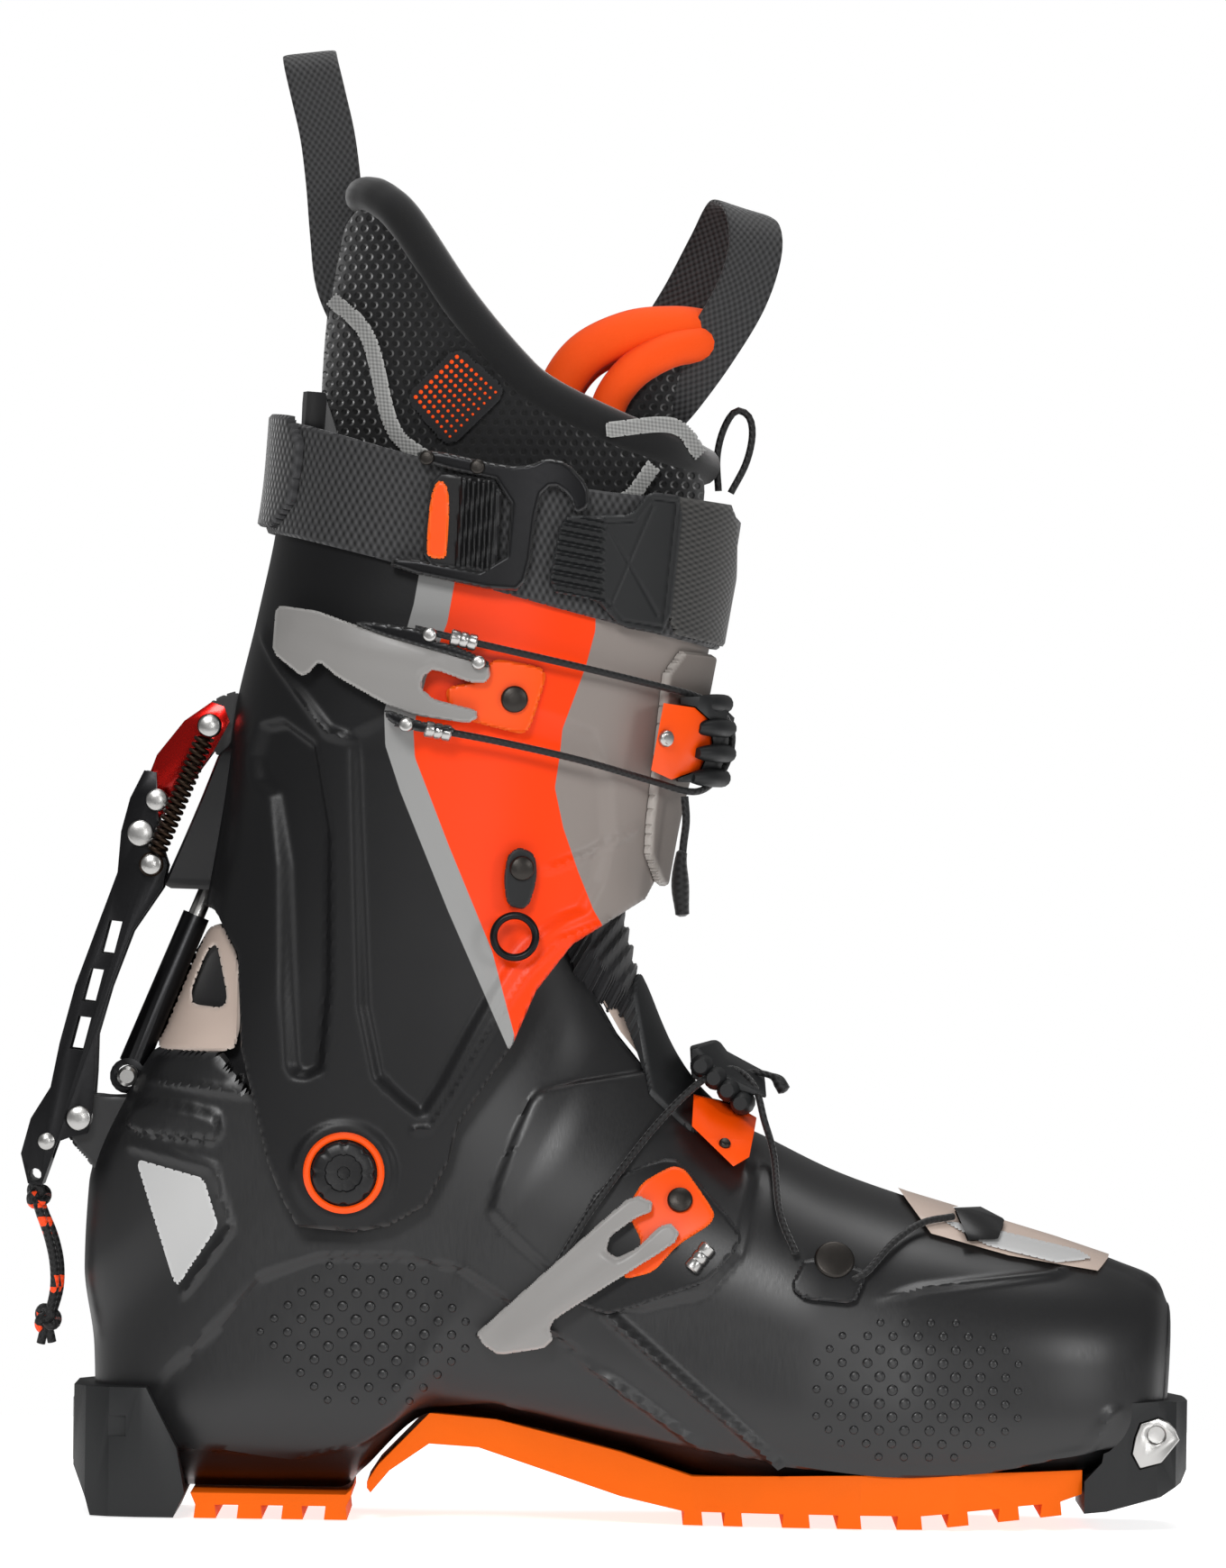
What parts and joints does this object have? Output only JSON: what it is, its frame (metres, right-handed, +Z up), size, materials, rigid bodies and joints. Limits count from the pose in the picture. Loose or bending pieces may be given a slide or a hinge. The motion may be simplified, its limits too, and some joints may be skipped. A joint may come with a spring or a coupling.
{
  "type": "alpine touring ski boot",
  "caption": "Right alpine touring ski boot with a hinged cuff, cable buckles, power strap, walk lever and padded liner.",
  "frame": {"origin": "on the ground under the middle of the heel tread, on the sole's centre line", "axes": "+Z up out of the leg opening, +X to the toe, +Y to the inner (medial) side"},
  "size_m": [0.3149, 0.104, 0.3957],
  "materials": {
    "shell_black": "satin",
    "black_metal": "satin",
    "orange_plastic": "gloss",
    "orange_rubber": "matte",
    "grey_metal": "satin",
    "taupe_plastic": "satin",
    "pale_taupe": "satin",
    "red_anodised": "anodised",
    "steel": "brushed",
    "spring_steel": "dark",
    "fabric_black": "woven",
    "fabric_orange": "knit",
    "rubber_black": "matte"
  },
  "bodies": {
    "clog": {"lower_shell": "shell_black", "lock_pin": "steel", "strut_pin": "steel", "rear_gusset": "pale_taupe", "throat_flap": "taupe_plastic", "throat_gaiter": "fabric_black", "heel_block": "rubber_black", "heel_tech_insert": "steel", "heel_outsole": "orange_rubber", "forefoot_outsole": "orange_rubber", "toe_block": "rubber_black", "toe_insert_lateral": "steel", "toe_insert_medial": "steel", "boot_board": "rubber_black", "liner_foot": "fabric_black", "pivot_bolt_lateral": "shell_black", "pivot_bolt_medial": "shell_black", "instep_buckle_base": "orange_plastic", "instep_bezel": "shell_black", "instep_buckle_rivet": "black_metal", "instep_ladder_clip": "orange_plastic", "instep_ladder": "rubber_black", "instep_cable": "fabric_black", "cable_guide": "shell_black", "toe_anchor": "shell_black", "toe_panel": "pale_taupe", "toe_cord_rear": "fabric_black", "toe_cord_front": "fabric_black"},
    "cuff": {"cuff_shell": "shell_black", "cuff_front_flap": "taupe_plastic", "calf_spoiler": "shell_black", "pivot_ring_lateral": "orange_plastic", "pivot_ring_medial": "orange_plastic", "cuff_buckle_base": "orange_plastic", "cuff_buckle_rivet": "black_metal", "cuff_ladder_mount": "orange_plastic", "cuff_ladder": "rubber_black", "cuff_cable": "fabric_black", "d_ring_strap": "rubber_black", "power_strap": "fabric_black", "strap_keeper": "fabric_black", "strap_buckle_frame": "black_metal", "strap_rubber_tab": "rubber_black", "liner_cuff": "fabric_black", "liner_tongue": "fabric_orange", "rear_pull_loop": "fabric_black", "tongue_pull_loop": "fabric_black", "finger_loop": "fabric_black", "zip_cord": "fabric_black", "zip_tab": "rubber_black"},
    "link": {"walk_link": "red_anodised", "lever_spring": "spring_steel"},
    "lever": {"walk_lever": "black_metal", "pull_cord": "fabric_black"},
    "strut": {"strut_sleeve": "black_metal"},
    "rod": {"strut_rod": "black_metal"},
    "upper_buckle": {"cuff_buckle_lever": "grey_metal"},
    "instep_buckle": {"instep_buckle_lever": "grey_metal"},
    "cam": {"strap_cam": "black_metal"},
    "ring": {"d_ring": "black_metal"}
  },
  "joints": [
    {"name": "cuff_pivot", "type": "hinge", "parent": "clog", "child": "cuff", "pos_m": [0.021, 0, 0.093], "axis": [0, 1, 0], "range_deg": [-15, 20], "deforming": ["liner_cuff", "liner_tongue", "liner_foot", "throat_gaiter", "pull_cord"]},
    {"name": "walk_link_hinge", "type": "hinge", "parent": "cuff", "child": "link", "pos_m": [-0.0173, 0, 0.2117], "axis": [0, 1, 0], "range_deg": [0, 14], "deforming": ["lever_spring"]},
    {"name": "walk_lever_hinge", "type": "hinge", "parent": "link", "child": "lever", "pos_m": [-0.0312, 0, 0.1916], "axis": [0, 1, 0], "range_deg": [0, 110], "deforming": ["lever_spring", "pull_cord"]},
    {"name": "strut_hinge", "type": "hinge", "parent": "clog", "child": "strut", "pos_m": [-0.0384, 0, 0.1171], "axis": [0, 1, 0], "range_deg": [-15, 20]},
    {"name": "strut_slide", "type": "slide", "parent": "strut", "child": "rod", "axis": [0.3778, 0, 0.9259], "range_m": [-0.0165, 0.022]},
    {"name": "upper_buckle_hinge", "type": "hinge", "parent": "cuff", "child": "upper_buckle", "pos_m": [0.0556, -0.0537, 0.2225], "axis": [0.18, 0, 0.9837], "range_deg": [0, 120], "deforming": ["cuff_cable"]},
    {"name": "instep_buckle_hinge", "type": "hinge", "parent": "clog", "child": "instep_buckle", "pos_m": [0.1046, -0.0445, 0.0826], "axis": [-0.688, 0, 0.7257], "range_deg": [0, 120], "deforming": ["instep_cable"]},
    {"name": "strap_cam_hinge", "type": "hinge", "parent": "cuff", "child": "cam", "pos_m": [0.0402, -0.0512, 0.2682], "axis": [-0.2, 0, -0.9798], "range_deg": [0, 60]},
    {"name": "d_ring_hinge", "type": "hinge", "parent": "cuff", "child": "ring", "pos_m": [0.0656, -0.0455, 0.1612], "axis": [-1, 0, 0], "range_deg": [0, 80]}
  ],
  "couplings": [
    {"joint": "walk_link_hinge", "follows": "walk_lever_hinge", "ratio": 0.12},
    {"joint": "strut_hinge", "follows": "cuff_pivot", "ratio": 1},
    {"joint": "strut_slide", "follows": "cuff_pivot", "m_per_rad": 0.0627}
  ]
}
